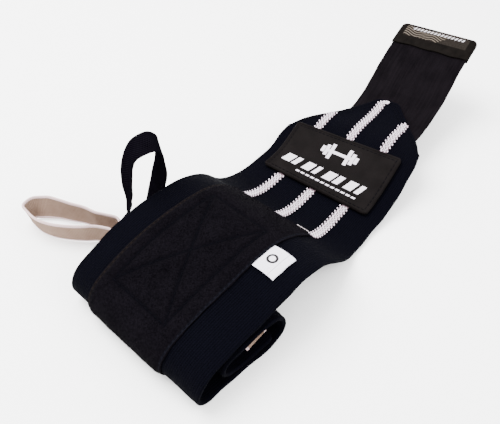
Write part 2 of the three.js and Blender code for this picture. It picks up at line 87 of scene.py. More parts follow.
def put(name, points, faces, cloth=None):
    """New piece from points in millimetres. It is smooth where it has flat-cloth spots for the weave."""
    mesh = bpy.data.meshes.new(name)
    mesh.from_pydata((points.reshape(-1, 3) * 0.001).tolist(), [], faces)
    if cloth is not None:
        mesh.polygons.foreach_set("use_smooth", [True] * len(faces))
        spots = mesh.attributes.new("cloth", "FLOAT_VECTOR", "POINT")
        spots.data.foreach_set("vector", cloth.reshape(-1).astype(np.float32))
    mesh.update()
    piece = bpy.data.objects.new(name, mesh)
    bpy.context.scene.collection.objects.link(piece)
    return piece


def solid(name, rings, cloth, end_caps=True):
    """Closed skin through equal rings of points."""
    count, size = rings.shape[:2]
    i, k = np.meshgrid(np.arange(count - 1), np.arange(size), indexing="ij")
    n = (k + 1) % size
    faces = np.stack([i * size + k, i * size + n, (i + 1) * size + n, (i + 1) * size + k], -1).reshape(-1, 4)
    faces = faces.tolist()
    if end_caps:
        for first, flip in ((0, False), ((count - 1) * size, True)):
            for j in range(size // 2 - 1):
                quad = [first + j, first + size - 1 - j, first + size - 2 - j, first + j + 1]
                faces.append(quad[::-1] if flip else quad)
    return put(name, rings, faces, cloth)


def flat_piece(name, s, left, right, top, under, across, soft, end_soft):
    """Sheet of cloth or rubber on the wrap: rounded along its sides and ends."""
    s = np.asarray(s, float)
    ends = np.minimum(s - s[0], s[-1] - s)
    squeeze = np.sqrt(np.clip(1 - (1 - np.clip(ends / end_soft, 0, 1)) ** 2, 0.04, 1))
    share = np.concatenate([[0, 0.04, 0.15, 0.4, 0.7], np.linspace(1, across - 1, across - 1)])
    share = np.concatenate([share, across - share[:5][::-1]]) / across
    edge = np.minimum(share, 1 - share)
    rings, cloth = [], []
    for row, at in enumerate(s):
        lo, hi = left(at), right(at)
        x = lo + (hi - lo) * share
        side = np.clip((edge * (hi - lo)) / soft, 0, 1)
        round_off = np.sqrt(np.clip(1 - (1 - side) ** 2, 0.02, 1)) * squeeze[row]
        up, down = top(at, x), under(at, x)
        middle, half = (up + down) / 2, (up - down) / 2
        hs = np.concatenate([middle + half * round_off, (middle - half * round_off)[::-1]])
        xs = np.concatenate([x, x[::-1]])
        rings.append(lay(at, xs, hs))
        cloth.append(np.stack([np.full(len(xs), at), xs, hs], -1))
    return solid(name, np.array(rings), np.array(cloth))


def corner_cut(radius, near_end):
    """How far a rounded corner stands back, this near to the end."""
    return radius - math.sqrt(max(0, radius ** 2 - max(0, radius - near_end) ** 2))


def shader(name, color, roughness, sheen=0.0, gloss=0.015):
    """New material with its main colour set, with its node tree and its main shader."""
    material = bpy.data.materials.new(name)
    material.use_nodes = True
    main = material.node_tree.nodes["Principled BSDF"]
    main.inputs["Base Color"].default_value = (*color, 1)
    main.inputs["Roughness"].default_value = roughness
    main.inputs["Specular IOR Level"].default_value = gloss
    main.inputs["Sheen Weight"].default_value = sheen
    main.inputs["Sheen Roughness"].default_value = 0.5
    return material, material.node_tree, main


def fill(tree, socket, value):
    """Gives an input a number or the result of another node."""
    if isinstance(value, bpy.types.NodeSocket):
        tree.links.new(value, socket)
    else:
        socket.default_value = value


def calc(tree, operation, *values):
    """Result of a sum on sockets or numbers."""
    node = tree.nodes.new("ShaderNodeMath")
    node.operation = operation
    for socket, value in zip(node.inputs, values):
        fill(tree, socket, value)
    return node.outputs[0]


def effect(name, inputs, output):
    """Empty effect for several materials, with what it is given and what it puts out."""
    group = bpy.data.node_groups.new(name, "ShaderNodeTree")
    for label, kind in inputs:
        group.interface.new_socket(label, in_out="INPUT", socket_type=kind)
    group.interface.new_socket(output, in_out="OUTPUT", socket_type="NodeSocketFloat")
    return group, group.nodes.new("NodeGroupInput").outputs, group.nodes.new("NodeGroupOutput").inputs


# Two effects that the materials share: a cloudy value over the cloth, and round ribs.
cloud_effect, given, result = effect("cloudy_value", (
    ("Spot", "NodeSocketVector"), ("Stretch", "NodeSocketVector"), ("Scale", "NodeSocketFloat"),
    ("Detail", "NodeSocketFloat")), "Cloud")
sized = cloud_effect.nodes.new("ShaderNodeVectorMath")
sized.operation = "MULTIPLY"
cloud = cloud_effect.nodes.new("ShaderNodeTexNoise")
for socket, value in ((sized.inputs[0], given["Spot"]), (sized.inputs[1], given["Stretch"]),
                      (cloud.inputs["Vector"], sized.outputs[0]), (cloud.inputs["Scale"], given["Scale"]),
                      (cloud.inputs["Detail"], given["Detail"]), (result["Cloud"], cloud.outputs["Fac"])):
    fill(cloud_effect, socket, value)
rib_effect, given, result = effect("ribs", (
    ("Length", "NodeSocketFloat"), ("Pitch", "NodeSocketFloat")), "Rib")
turns = calc(rib_effect, "DIVIDE", calc(rib_effect, "MULTIPLY", given["Length"], math.pi), given["Pitch"])
fill(rib_effect, result["Rib"], calc(rib_effect, "ABSOLUTE", calc(rib_effect, "SINE", turns)))


def place(tree, group, *values):
    """An effect in a material with its own values; returns what it puts out."""
    node = tree.nodes.new("ShaderNodeGroup")
    node.node_tree = group
    for socket, value in zip(node.inputs, values):
        fill(tree, socket, value)
    return node.outputs[0]


def noise(tree, spot, scale, detail, stretch=(1, 1, 1)):
    """Cloudy value from 0 to 1 over the cloth."""
    return place(tree, cloud_effect, spot, stretch, scale, detail)


def wave(tree, value, length):
    """Sine of a length, repeated at the given one."""
    return calc(tree, "SINE", calc(tree, "MULTIPLY", value, 2 * math.pi / length))


def cloth_spot(tree):
    """The flat-cloth spot as three separate lengths, and as one vector."""
    spot = tree.nodes.new("ShaderNodeAttribute")
    spot.attribute_name = "cloth"
    parts = tree.nodes.new("ShaderNodeSeparateXYZ")
    tree.links.new(spot.outputs["Vector"], parts.inputs[0])
    return parts.outputs[0], parts.outputs[1], parts.outputs[2], spot.outputs["Vector"]


def ramp(tree, value, stops):
    """Colour from a value through a few stops."""
    node = tree.nodes.new("ShaderNodeValToRGB")
    points = node.color_ramp.elements
    while len(points) < len(stops):
        points.new(0.5)
    for point, (at, color) in zip(points, stops):
        point.position, point.color = at, (*color, 1)
    tree.links.new(value, node.inputs[0])
    return node.outputs[0]


def bump(tree, main, height, depth_mm):
    """Relief of the given depth on the main shader."""
    node = tree.nodes.new("ShaderNodeBump")
    node.inputs["Distance"].default_value = depth_mm * 0.001
    node.inputs["Strength"].default_value = 1.0
    tree.links.new(height, node.inputs["Height"])
    tree.links.new(node.outputs[0], main.inputs["Normal"])


def band_reach(s, tip_half, full_at, ripple):
    """How far one side of the band stands from its middle line."""
    grown = min(max((s - tip_start) / (full_at - tip_start), 0), 1)
    corners = corner_cut(2.5, s - tip_start) + corner_cut(4, wrap_length - s)
    soften = 1.2 * math.exp(-((s - full_at) / 5) ** 2)
    return tip_half + (band_half - tip_half) * grown - corners - ripple * grown - soften


def band_left(s):
    ripple = 0.25 * math.sin(s / 9.0) + 0.12 * math.sin(s / 3.1 + 1)
    return -band_reach(s, tip_left_half, tip_left_end, ripple)


def band_right(s):
    ripple = 0.22 * math.sin(s / 8.0 + 2) + 0.12 * math.sin(s / 2.7)
    return band_reach(s, tip_right_half, tip_right_end, ripple)


def band_top(s, x):
    """Soft fullness, with a dip inside each selvedge."""
    swell = 0.12 * np.sin(s / 5.3 + x / 7.0) * np.cos(x / 5.1 - s / 11.0)
    side = np.minimum(x - band_left(s), band_right(s) - x)
    selvedge = 0.14 * np.exp(-((side - 2.2) / 0.7) ** 2)
    return swell - selvedge - 0.06


band_s = np.concatenate([
    tip_start + np.array([0, 0.1, 0.3, 0.6, 1.0, 1.6]), np.arange(tip_start + 2.5, wrap_length - 3.5, 1.0),
    wrap_length - np.array([3, 2, 1.3, 0.8, 0.4, 0.15, 0.0])])
band = flat_piece("band_knit", band_s, band_left, band_right, band_top, lambda s, x: -band_thick,
                  across=110, soft=1.0, end_soft=0.9)
# The knit has a rib at every pitch across the band, each a column of slanted stitches.
knit_dark, knit_light = (0.0001, 0.0001, 0.0004), (0.0013, 0.0013, 0.0030)
rib_pitch, course = 1.05, 0.9
band_look, tree, main = shader("band_knit", knit_dark, 0.95)
s, x, h, spot = cloth_spot(tree)
column = place(tree, rib_effect, x, rib_pitch)
lean = calc(tree, "MULTIPLY", column, 0.45 * course)
stitch = calc(tree, "MULTIPLY_ADD", wave(tree, calc(tree, "ADD", s, lean), course), 0.5, 0.5)
relief = calc(tree, "MULTIPLY", calc(tree, "POWER", column, 0.6),
              calc(tree, "MULTIPLY_ADD", stitch, 0.55, 0.45))
relief = calc(tree, "MULTIPLY_ADD", noise(tree, spot, 1.7, 4), 0.35, relief)
bump(tree, main, relief, 0.3)
tone = calc(tree, "MULTIPLY_ADD", noise(tree, spot, 0.05, 4), 0.2,
            calc(tree, "MULTIPLY", noise(tree, spot, 0.8, 3), 0.4))
# The ribs' raised tops are painted lighter, a painted highlight, over the knit's own cloudy tone.
tone = calc(tree, "MULTIPLY_ADD", relief, 0.4, tone)
tree.links.new(ramp(tree, tone, [(0.25, knit_dark), (0.95, knit_light)]), main.inputs["Base Color"])
band.data.materials.append(band_look)
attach(band, "root")
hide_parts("band")

# Band's own seams
# Black thread in machine-sewn running stitches: two rows along the pointed tip, which hold the
# strap under it, and four rows across the folded inner end, which hold the thumb loops' ends.
black_thread = shader("black_thread", (0.0008, 0.0008, 0.0016), 0.7)[0]


def pick(piece):
    """The piece alone, chosen and active."""
    bpy.ops.object.select_all(action="DESELECT")
    piece.select_set(True)
    bpy.context.view_layer.objects.active = piece


def open_mesh(piece):
    """The piece alone in edit mode, chosen all over."""
    pick(piece)
    bpy.ops.object.mode_set(mode="EDIT")
    bpy.ops.mesh.select_all(action="SELECT")


def beads(name, s, x, h, long, wide, high, angle, fat_end=0.0):
    """Many small yarn bodies in one piece: each an egg lying on the cloth at its own angle."""
    s, x, h, long, wide, high, angle = np.broadcast_arrays(
        *[np.atleast_1d(np.asarray(v, float)) for v in (s, x, h, long, wide, high, angle)])
    latitude = np.radians([-90, -50, -18, 18, 50, 90])
    longitude = np.radians(np.arange(0, 360, 60))
    along = np.sin(latitude)[:, None] + 0 * longitude
    belly = np.cos(latitude)[:, None] * (1 + fat_end * np.sin(latitude)[:, None])
    side, up = belly * np.cos(longitude), belly * np.sin(longitude)
    a = along[None] * long[:, None, None] / 2
    b = side[None] * wide[:, None, None] / 2
    c = up[None] * high[:, None, None] / 2
    turn_s, turn_x = np.cos(angle)[:, None, None], np.sin(angle)[:, None, None]
    spot_s = s[:, None, None] + a * turn_s - b * turn_x
    spot_x = x[:, None, None] + a * turn_x + b * turn_s
    spot_h = h[:, None, None] + c
    rings, around = len(latitude), len(longitude)
    r, k = np.meshgrid(np.arange(rings - 1), np.arange(around), indexing="ij")
    n = (k + 1) % around
    here, beyond = r * around, (r + 1) * around
    quads = np.stack([here + k, beyond + k, beyond + n, here + n], -1).reshape(-1, 4)
    faces = (np.arange(len(s))[:, None, None] * rings * around + quads[None]).reshape(-1, 4).tolist()
    piece = put(name, lay(spot_s, spot_x, spot_h), faces, np.stack([spot_s, spot_x, spot_h], -1))
    open_mesh(piece)
    bpy.ops.mesh.remove_doubles(threshold=0.000002)
    bpy.ops.object.mode_set(mode="OBJECT")
    return piece


def stitch_line(corners, pitch):
    """Evenly spaced spots and headings along a line of corners on the flat cloth."""
    corners = np.array(corners, float)
    legs = np.hypot(*np.diff(corners, axis=0).T)
    reach = np.concatenate([[0], np.cumsum(legs)])
    at = np.arange(pitch / 2, reach[-1], pitch)
    s, x = np.interp(at, reach, corners[:, 0]), np.interp(at, reach, corners[:, 1])
    leg = np.clip(np.searchsorted(reach, at) - 1, 0, len(legs) - 1)
    step = np.diff(corners, axis=0)[leg]
    return s, x, np.arctan2(step[:, 1], step[:, 0])


def join(name, pieces):
    """One piece out of several."""
    pick(pieces[0])
    for piece in pieces[1:]:
        piece.select_set(True)
    bpy.ops.object.join()
    pieces[0].name = name
    pieces[0].data.name = name
    return pieces[0]


seams = []
for inset in (1.6, 3.2):
    tip_line = [(tip_left_end, inset - band_half), (tip_start + inset, inset - tip_left_half),
                (tip_start + inset, tip_right_half - inset), (tip_right_end, band_half - inset)]
    s, x, heading = stitch_line(tip_line, 2.6)
    seams.append(beads("tip_seam", s, x, 0.02, 2.1, 0.42, 0.36, heading))
for inset in (4.0, 7.0, 17.5, 20.5):
    row_s, row_half = wrap_length - inset, band_half - 3
    s, x, heading = stitch_line([(row_s, -row_half), (row_s, row_half)], 2.6)
    seams.append(beads("end_seam", s, x, 0.02, 2.1, 0.42, 0.36, heading))
band_seams = join("band_seams", seams)
band_seams.data.materials.append(black_thread)
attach(band_seams, "root")

# Hook strap
# Woven nylon hook tape, 47 mm wide, with its plain back up and its hooks down. It is sewn under
# the band's tip by the rows of stitches there.
strap_s0, strap_s1, strap_left, strap_right = 5, 116, -16.5, 30.5
strap_top, strap_under = -2.32, -3.12
strap_s = np.concatenate([strap_s0 + np.array([0, 0.2, 0.5, 1.0]), np.arange(strap_s0 + 2, strap_s1 - 1, 1.5),
                          strap_s1 - np.array([0.6, 0.2, 0])])
strap = flat_piece("hook_strap_tape", strap_s,
                   lambda s: strap_left + 0.15 * math.sin(s / 7) + 0.06 * math.sin(s / 1.9),
                   lambda s: strap_right + 0.15 * math.sin(s / 6 + 1) + 0.06 * math.sin(s / 2.3),
                   lambda s, x: strap_top + 0.06 * np.sin(s / 13 + x / 9), lambda s, x: strap_under,
                   across=60, soft=0.5, end_soft=0.5)
# Fine warp and weft, with a worn grain along the strap.
strap_look, tree, main = shader("hook_tape", (0.003, 0.0025, 0.003), 0.9)
s, x, h, spot = cloth_spot(tree)
warp_pitch, weft_pitch = 0.62, 0.8
warp = place(tree, rib_effect, x, warp_pitch)
weft = calc(tree, "MULTIPLY", wave(tree, s, weft_pitch), wave(tree, x, 2 * warp_pitch))
weave = calc(tree, "MULTIPLY_ADD", weft, 0.3, warp)
long_grain = noise(tree, spot, 1.0, 4, (0.06, 1.6, 1))
bump(tree, main, calc(tree, "ADD", long_grain, weave), 0.16)
tone = calc(tree, "MULTIPLY_ADD", long_grain, 0.8, calc(tree, "MULTIPLY", warp, 0.3))
tone = calc(tree, "MULTIPLY_ADD", noise(tree, spot, 0.09, 5), 0.45, calc(tree, "MULTIPLY", tone, 0.6))
tree.links.new(ramp(tree, tone, [(0.35, (0.0003, 0.0002, 0.0004)), (0.75, (0.0036, 0.0027, 0.0036))]),
               main.inputs["Base Color"])
strap.data.materials.append(strap_look)
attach(strap, "root")
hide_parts("hook_strap")

# Hooks of the hook tape
# Tiny bent hooks of stiff nylon thread, woven into the tape in staggered rows and cut open. They
# stand on the strap's underside.
hook_pitch_s, hook_pitch_x = 1.35, 1.25
strand_corners = np.radians([90, 210, 330])


def strands(name, rings, capped):
    """Many thin three-sided strands in one piece: for each strand its rings of corners."""
    count, rows = rings.shape[:2]
    per = rows * 3
    sides = [[r * 3 + k, r * 3 + (k + 1) % 3, (r + 1) * 3 + (k + 1) % 3, (r + 1) * 3 + k]
             for r in range(rows - 1) for k in range(3)]
    faces = [[v + per * n for v in face] for n in range(count) for face in sides]
    if capped:
        faces += [[per * n + per - 3 + k for k in range(3)] for n in range(count)]
    return put(name, rings, faces)


hook_s, hook_x = np.meshgrid(
    np.arange(17.5, 114, hook_pitch_s), np.arange(-14.6, 29, hook_pitch_x), indexing="ij")
hook_s = (hook_s + 0.5 * ((np.arange(hook_x.shape[1]) % 2) * hook_pitch_s)[None]).ravel()
hook_x = hook_x.ravel()
hook_side = np.where(np.round(hook_x / hook_pitch_x) % 2 == 0, 1.0, -1.0)
hook_rings = []
for out, height, thick in ((0.0, -3.05, 0.085), (0.0, -3.32, 0.085), (0.18, -3.52, 0.085),
                           (0.38, -3.5, 0.085), (0.44, -3.36, 0.04)):
    hook_rings.append(np.stack([
        lay(hook_s + thick * math.sin(a), hook_x + hook_side * (out + thick * math.cos(a)), height)
        for a in strand_corners], 1))
hooks = strands("strap_hooks", np.stack(hook_rings, 1), capped=True)
hooks.data.materials.append(shader("hook_nylon", (0.003, 0.0025, 0.003), 0.35, gloss=0.15)[0])
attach(hooks, "root")

# Pull tab
# Soft rubber strip moulded over the strap's end, which sits in its slot. Its face has a lighter
# zone with wavy grip lines and a row of pale bars, and fine ribs along its far edge.
tab_left, tab_right, tab_near = -17.1, 31.1, 15.2
tab_middle, tab_half, slot_half = -2.95, 1.85, 0.95
tab_x = np.concatenate([tab_left + np.array([0, 0.1, 0.3, 0.7, 1.2, 2.0, 3.0]), np.linspace(-13, 27, 60),
                        tab_right - np.array([3.0, 2.0, 1.2, 0.7, 0.3, 0.1, 0])])
tab_rings, tab_cloth = [], []
for x in tab_x:
    near_side = min(x - tab_left, tab_right - x)
    corner = corner_cut(3.2, near_side)
    half = tab_half * math.sqrt(max(0.02, 1 - max(0, 1 - near_side / 0.8) ** 2))
    inner = min(slot_half, half * 0.9)
    mouth = tab_near + 0.25 * math.sin(x / 2.6)
    upper = [(mouth, half - 0.12), (mouth - 0.4, half), (10.5, half), (6, half)]
    lower = [(s, -h) for s, h in reversed(upper)]
    end = [(corner + tab_half * (1 - math.cos(a)), half * math.sin(a))
           for a in np.radians(np.arange(90, -91, -15))]
    slot_end = corner + 2.6
    slot = [(mouth, -inner), (slot_end, -inner), (slot_end, inner), (mouth, inner)]
    section = np.array(upper + end + lower + slot)
    spots = np.stack([section[:, 0], np.full(len(section), x), tab_middle + section[:, 1]], -1)
    tab_rings.append(lay(spots[:, 0], spots[:, 1], spots[:, 2]))
    tab_cloth.append(spots)
tab = solid("pull_tab_rubber", np.array(tab_rings)[::-1], np.array(tab_cloth)[::-1], end_caps=False)
open_mesh(tab)
bpy.ops.mesh.fill_holes(sides=0)
bpy.ops.mesh.normals_make_consistent(inside=False)
bpy.ops.object.mode_set(mode="OBJECT")
bpy.ops.object.shade_smooth_by_angle(angle=math.radians(50))


def paint(tree, under, over, mask):
    """Second colour over the first where the mask is 1."""
    mix = tree.nodes.new("ShaderNodeMix")
    mix.data_type = "RGBA"
    tree.links.new(mask, mix.inputs["Factor"])
    for socket, value in ((mix.inputs[6], under), (mix.inputs[7], over)):
        fill(tree, socket, (*value, 1) if isinstance(value, tuple) else value)
    return mix.outputs[2]


def overlap(tree, *masks):
    """1 where all the masks are 1."""
    shared = masks[0]
    for mask in masks[1:]:
        shared = calc(tree, "MULTIPLY", shared, mask)
    return shared


# The zone, the grip lines, the bars and the ribs are masks on the flat spot, painted in turn.
tab_look, tree, main = shader("tab_rubber", (0.002, 0.0015, 0.0012), 0.75, gloss=0.02)
s, x, h, spot = cloth_spot(tree)
on_top = calc(tree, "GREATER_THAN", h, -2.6)
printed_zone = overlap(tree, calc(tree, "COMPARE", s, 5.7, 3.5), calc(tree, "COMPARE", x, 7.0, 20.0),
                       on_top)
wander = calc(tree, "MULTIPLY_ADD", calc(tree, "SINE", calc(tree, "MULTIPLY", x, 0.36)), 1.7, s)
wander = calc(tree, "MULTIPLY_ADD", x, 0.16, wander)
ridge = overlap(tree, calc(tree, "GREATER_THAN", wave(tree, wander, 1.45), 0.4),
                calc(tree, "LESS_THAN", calc(tree, "MULTIPLY_ADD", s, 1.2, x), 20.0), printed_zone)
slant = calc(tree, "PINGPONG", calc(tree, "MULTIPLY_ADD", s, 0.6, x), 1.1)
bars = overlap(tree, calc(tree, "GREATER_THAN", slant, 0.5), calc(tree, "COMPARE", s, 3.3, 0.85), on_top,
               calc(tree, "COMPARE", x, 7.5, 16.5))
comb = overlap(tree, calc(tree, "GREATER_THAN", wave(tree, x, 1.3), 0.0), calc(tree, "COMPARE", s, 1.3, 0.8),
               calc(tree, "COMPARE", x, 16.0, 10.0))
speck = noise(tree, spot, 2.2, 5)
rubber = ramp(tree, noise(tree, spot, 0.25, 4),
              [(0.3, (0.0012, 0.0009, 0.0007)), (0.75, (0.0032, 0.0024, 0.002))])
printed = ramp(tree, speck, [(0.3, (0.005, 0.004, 0.0032)), (0.8, (0.013, 0.0105, 0.0088))])
color = paint(tree, rubber, printed, printed_zone)
color = paint(tree, color, (0.075, 0.062, 0.05), ridge)
color = paint(tree, color, (0.34, 0.32, 0.34), bars)
color = paint(tree, color, (0.03, 0.025, 0.022), comb)
tree.links.new(color, main.inputs["Base Color"])
raised = calc(tree, "MULTIPLY_ADD", ridge, 0.9, calc(tree, "MULTIPLY_ADD", bars, 0.9, comb))
bump(tree, main, calc(tree, "MULTIPLY_ADD", speck, 0.35, raised), 0.25)
tab.data.materials.append(tab_look)
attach(tab, "root")
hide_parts("pull_tab")

# Raised stripes
# Thick pale yarn knitted through the band: small slanted loops in five columns with jagged sides,
# flattened where the patch is sewn over them. They end at the cut of the tip.
# The yarn's colour is painted darker low down between its loops: painted shade.
yarn_look, tree, main = shader("stripe_yarn", (0.6, 0.54, 0.6), 0.95, 0.08)
s, x, h, spot = cloth_spot(tree)
fibre = noise(tree, spot, 3.0, 5, (0.6, 2.0, 1))
bump(tree, main, fibre, 0.25)
# Painted shade: the colour darkens the lower the yarn lies between its loops, with the fibre's own grain
# mixed in.
depth = calc(tree, "MULTIPLY_ADD", h, 0.75, calc(tree, "MULTIPLY", fibre, 0.35))
yarn_color_with_painted_shade = ramp(tree, depth, [
    (0.3, (0.13, 0.085, 0.10)), (0.6, (0.42, 0.35, 0.40)), (0.9, (0.66, 0.59, 0.66))])
tree.links.new(yarn_color_with_painted_shade, main.inputs["Base Color"])
column_pitch, row_pitch = 0.92, 1.25
covered_from, covered_to, stripe_end = 97.2, 135.4, 168.0
for name, middle, first, cut, loose in (
        ("stripe_left", -20.5, 80.5, -0.75, 0.15), ("stripe_middle", 0.0, 59.0, 0.0, 0.15),
        ("stripe_right", 20.5, 71.5, 0.9, 0.7)):
    ground = flat_piece("ground", np.arange(first, stripe_end + 0.01, 0.8),
                        lambda s: middle - 1.9 + 0.18 * math.sin(s * 3.1),
                        lambda s: middle + 1.9 + 0.18 * math.sin(s * 3.1 + 2),
                        lambda s, x: 0.2, lambda s, x: -0.1, across=8, soft=0.4, end_soft=0.5)
    rows = np.concatenate([np.arange(first - 0.2, covered_from, row_pitch),
                           np.arange(covered_to, stripe_end, row_pitch)])
    row, column = np.meshgrid(rows, np.arange(-2, 3), indexing="ij")
    number = np.arange(len(rows))[:, None] + 0 * column
    seed = np.sin(row * 12.9898 + column * 78.233) * 43758.5453
    chance = seed - np.floor(seed)
    zigzag = np.where(abs(column) == 2, 0.46, 0.14) * np.where(number % 2 == 0, 1, -1)
    fray = loose * np.sin(row * 0.9) * np.clip((first + 12 - row) / 12, 0, 1)
    loop_x = middle + column * column_pitch + zigzag + fray + 0.14 * (chance - 0.5)
    loop_s = row + 0.62 * (column % 2) + 0.15 * (chance - 0.5)
    keep = loop_s > first + cut * (loop_x - middle) - 0.4
    lean = np.where(column % 2 == 0, 0.4, -0.4) + 0.3 * (chance - 0.5)
    tall = 0.95 + 0.25 * (chance - 0.5)
    lift = 0.44 + 0.08 * chance
    yarn = beads("yarn", loop_s[keep], loop_x[keep], lift[keep], 1.28, 0.8, tall[keep], lean[keep], 0.15)
    stripe = join(name + "_yarn", [yarn, ground])
    stripe.data.materials.append(yarn_look)
    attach(stripe, "root")
    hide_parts(name)
end_s = [58.9, 58.3, 57.9, 57.8, 58.4, 59.0, 59.4]
end_x = [0.2, 0.9, 1.9, 2.9, 3.5, 3.2, 2.3]
end_heading = [0.3, 1.0, 1.5, 1.7, 2.6, 3.6, 4.6]
turned = beads("stripe_end_loop", end_s, end_x, 0.55, 1.5, 0.95, 0.95, end_heading)
turned.data.materials.append(yarn_look)
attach(turned, "root")

# Patch
# Matt moulded rubber plate, 65.5 by 36.5 mm, with a thin raised rim. It is sewn on across the
# stripes through a groove inside the rim.
patch_s0, patch_s1, patch_half = 98.0, 134.5, 32.75
patch_under, groove_inset = 0.85, 2.3
edge_steps = np.array([0, 0.06, 0.16, 0.3, 0.45, 0.6, 0.8, 1.0, 1.2, 1.4, 1.6, 1.9])


def patch_side(s):
    return patch_half - corner_cut(2.5, min(s - patch_s0, patch_s1 - s))


def patch_top(s, x):
    from_side = np.minimum(np.minimum(x + patch_half, patch_half - x), min(s - patch_s0, patch_s1 - s))
    rim = 0.42 * np.clip((from_side - 0.25) / 0.3, 0, 1) * (1 - np.clip((from_side - 1.15) / 0.35, 0, 1))
    groove = -0.16 * np.exp(-((from_side - groove_inset) / 0.28) ** 2)
    return 2.1 + rim + groove + 0.05 * np.sin(s / 4.1) * np.cos(x / 6.7)


patch_s = np.concatenate([patch_s0 + edge_steps, np.arange(patch_s0 + 2.2, patch_s1 - 2.1, 0.35),
                          patch_s1 - edge_steps[::-1]])
patch = flat_piece("patch_plate", patch_s, lambda s: -patch_side(s), patch_side, patch_top,
                   lambda s, x: patch_under, across=190, soft=0.35, end_soft=0.35)
patch_look, tree, main = shader("patch_rubber", (0.003, 0.002, 0.002), 0.7, gloss=0.02)
s, x, h, spot = cloth_spot(tree)
grain = noise(tree, spot, 5.0, 4)
bump(tree, main, grain, 0.05)
tone = calc(tree, "MULTIPLY_ADD", noise(tree, spot, 0.12, 5), 0.7, calc(tree, "MULTIPLY", grain, 0.3))
tree.links.new(ramp(tree, tone, [(0.3, (0.0018, 0.0013, 0.0013)), (0.75, (0.0040, 0.0032, 0.0032))]),
               main.inputs["Base Color"])
patch.data.materials.append(patch_look)
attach(patch, "root")
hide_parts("patch")

# Patch seam
# Dark thread in running stitches, sunk in the groove just inside the rim. It goes down through the
# rubber and the band.
s0, s1, side = patch_s0 + groove_inset, patch_s1 - groove_inset, patch_half - groove_inset
s, x, heading = stitch_line([(s0, -side), (s0, side), (s1, side), (s1, -side), (s0, -side)], 2.5)
patch_seam = beads("patch_seam", s, x, 2.03, 2.0, 0.36, 0.34, heading)
patch_seam.data.materials.append(black_thread)
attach(patch_seam, "root")

# Patch emblem
# Raised pale rubber moulded onto the patch: a plain dumbbell over a row of slanted bars and a row
# of short dashes.
pale_rubber, tree, main = shader("pale_rubber", (0.52, 0.48, 0.53), 0.55)
s, x, h, spot = cloth_spot(tree)
bump(tree, main, noise(tree, spot, 4.0, 4), 0.05)
# Each mark: its far and near edge, its two sides at the far edge, and its slant.
grip_s, grip_x, plate_thick = 108.5, 1, 2.1
shapes = [(grip_s - 0.9, grip_s + 0.9, -6.5, 8.5, 0)]
for inner, reach in ((4.2, 4.8), (6.9, 3.4), (9.2, 1.9)):
    shapes += [(grip_s - reach, grip_s + reach, grip_x - inner - plate_thick, grip_x - inner, 0),
               (grip_s - reach, grip_s + reach, grip_x + inner, grip_x + inner + plate_thick, 0)]
bar_from, bar_to, bar_slant = 119.6, 125.6, -0.35
for k, wide in enumerate((5.4, 3.0, 5.0, 2.6, 5.4, 3.4, 5.0, 2.8)):
    shapes += [(bar_from, bar_to, -25.0 + 6.7 * k, -25.0 + 6.7 * k + wide, bar_slant)]
shapes += [(128.0, 129.1, -14.5 + 3.2 * k, -12.3 + 3.2 * k, bar_slant) for k in range(12)]
marks = []
for low, high, start, stop, lean in shapes:
    mark_s = np.concatenate([low + np.array([0, 0.05, 0.12]), np.linspace(low + 0.2, high - 0.2, 8),
                             high - np.array([0.12, 0.05, 0])])
    marks.append(flat_piece(
        "mark", mark_s, lambda s: start + lean * (s - low), lambda s: stop + lean * (s - low),
        lambda s, x: patch_top(s, x) + 0.28, lambda s, x: patch_top(s, x) - 0.12,
        across=12, soft=0.2, end_soft=0.2))
emblem = join("patch_emblem", marks)
emblem.data.materials.append(pale_rubber)
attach(emblem, "root")

# Loop panel
# Brushed nylon loop tape for the hooks to grip, 47 by 114 mm. It is sewn on round its edge, which
# the thread presses thin, and quilted down by a boxed cross of stitches.
panel_s0, panel_s1, panel_x0, panel_x1 = 169.0, 283.0, -27.0, 20.0
cross_s0, cross_s1, cross_x0, cross_x1 = 199, 258, -20, 12
box_corners = [(cross_s0, cross_x0), (cross_s1, cross_x0), (cross_s1, cross_x1), (cross_s0, cross_x1)]
cross_box = box_corners + box_corners[:1]
cross_lines = [box_corners[::2], box_corners[3::-2]]
quilt_legs = list(zip(cross_box[:-1], cross_box[1:])) + cross_lines


def to_quilting(s, x):
    """Distance from a spot to the nearest line of the boxed cross."""
    gaps = []
    for a, b in quilt_legs:
        d = np.array(b, float) - np.array(a, float)
        t = np.clip(((s - a[0]) * d[0] + (x - a[1]) * d[1]) / (d @ d), 0, 1)
        gaps.append(np.hypot(s - a[0] - t * d[0], x - a[1] - t * d[1]))
    return np.min(gaps, axis=0)


def over_label(s, x):
    """1 where the label lies under the panel, falling off softly round it."""
    side, end = np.clip((x - 11.5) / 6, 0, 1), np.clip((14 - abs(s - 208.7)) / 6, 0, 1)
    return side ** 2 * (3 - 2 * side) * end ** 2 * (3 - 2 * end)


def panel_top(s, x):
    side = np.minimum(x - panel_x0, panel_x1 - x)
    end = np.minimum(s - panel_s0, panel_s1 - s)
    pile = 1.6 - 0.75 * (1 - np.clip((np.minimum(side - 1.2, end - 0.5)) / 2.2, 0, 1)) ** 1.5
    quilted = 0.6 * np.exp(-(to_quilting(s, x) / 1.2) ** 2)
    uneven = 0.07 * np.sin(s / 3.7 + x / 2.9) * np.sin(x / 4.3 - s / 6.1)
    return pile - quilted + 0.3 * over_label(s, x) + uneven


